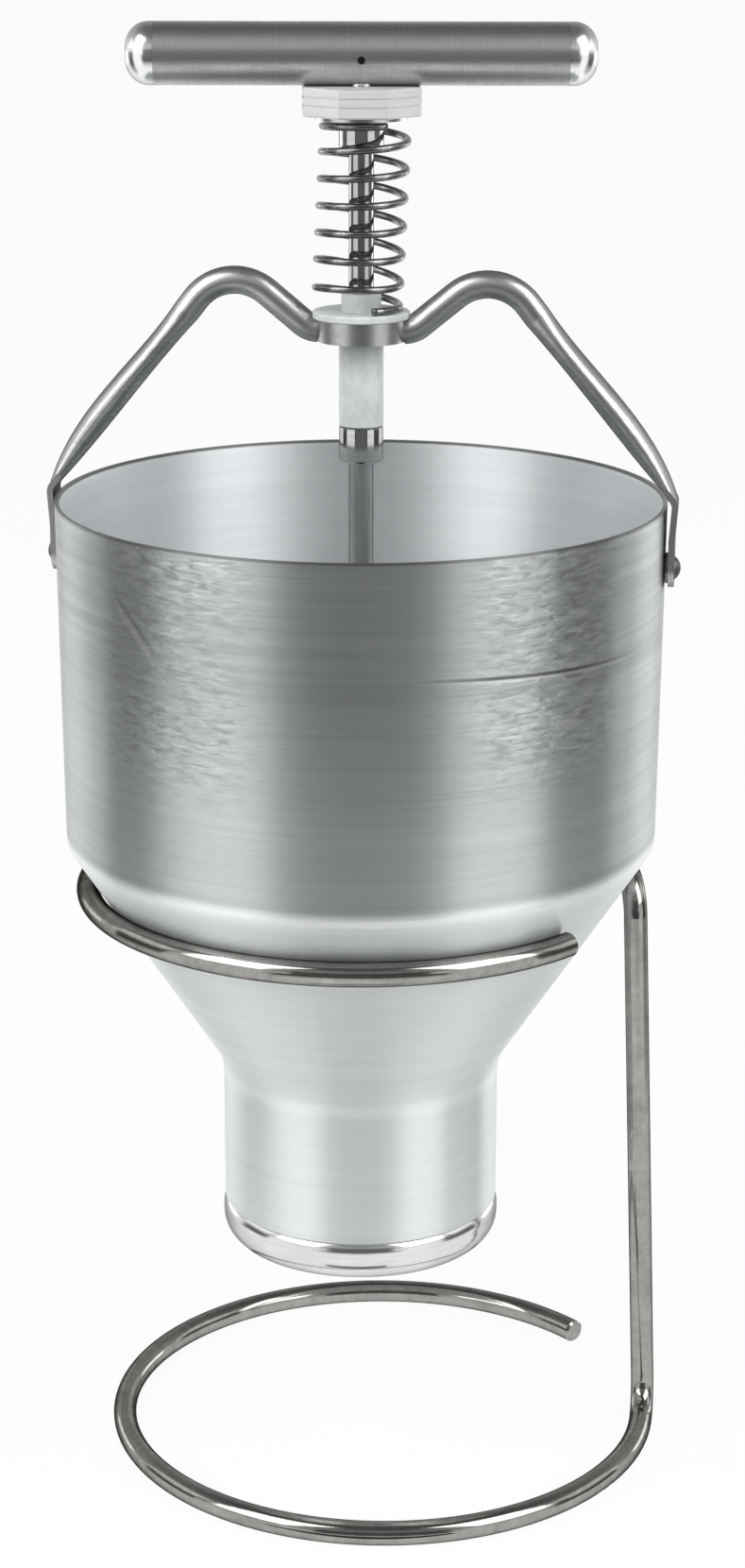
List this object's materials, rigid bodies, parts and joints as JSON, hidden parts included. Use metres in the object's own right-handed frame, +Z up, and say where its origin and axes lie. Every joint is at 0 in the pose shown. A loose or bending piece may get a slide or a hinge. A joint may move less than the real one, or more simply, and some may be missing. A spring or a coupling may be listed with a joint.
{
  "type": "batter dispenser",
  "caption": "Hand batter dispenser: a spun metal hopper with a riveted bail and a sprung T-handle plunger, resting in an open bent-wire stand that it lifts out of",
  "frame": {"origin": "on the hopper's axis, on the surface the stand rests on", "axes": "+Z up along the push rod, +X along the handle toward the leg of the stand, -Y toward the viewer of the picture"},
  "size_m": [0.2081, 0.2, 0.4833],
  "materials": {
    "polished_stainless": "polished wire",
    "spun_aluminium": "spun, fine round lines",
    "polished_aluminium": "polished",
    "satin_aluminium": "satin, brushed",
    "bright_steel": "polished bar",
    "rivet_steel": "dull",
    "white_nylon": "matt",
    "spring_steel": "bright drawn wire",
    "plated_steel": "bright plated",
    "dark_steel": "dark",
    "bright_rod": "ground and polished",
    "chrome": "mirror",
    "seal_rubber": "matt white"
  },
  "bodies": {
    "stand": {"stand_frame": "polished_stainless"},
    "hopper": {"hopper_shell": "spun_aluminium", "nozzle_ring": "polished_aluminium", "bail": "bright_steel", "bail_rivets": "rivet_steel", "rivet_washers": "rivet_steel", "guide_bush": "white_nylon", "return_spring": "spring_steel"},
    "spring_seat": {"spring_washer": "plated_steel"},
    "plunger": {"lock_nut": "polished_aluminium", "hub_sleeve": "chrome", "hub_screw": "plated_steel", "grip_tube": "satin_aluminium", "grip_caps": "polished_aluminium", "grip_pin": "dark_steel", "plunger_rod": "bright_rod", "stop_collar": "chrome", "stop_screw": "plated_steel", "piston_disc": "satin_aluminium", "piston_seal": "seal_rubber", "piston_nuts": "plated_steel", "closing_disc": "satin_aluminium", "disc_nut": "plated_steel", "cap_nut": "plated_steel"}
  },
  "joints": [
    {"name": "hopper_lift", "type": "slide", "parent": "stand", "child": "hopper", "axis": [0, 0, 1], "range_m": [0, 0.15]},
    {"name": "plunger_press", "type": "slide", "parent": "hopper", "child": "spring_seat", "axis": [0, 0, -1], "range_m": [0, 0.03], "stiffness_N_per_m": 1600, "springref_m": -0.015, "deforming": ["return_spring"]},
    {"name": "plunger_turn", "type": "hinge", "parent": "spring_seat", "child": "plunger", "pos_m": [0, 0, 0.4538], "axis": [0, 0, 1], "continuous": true}
  ]
}
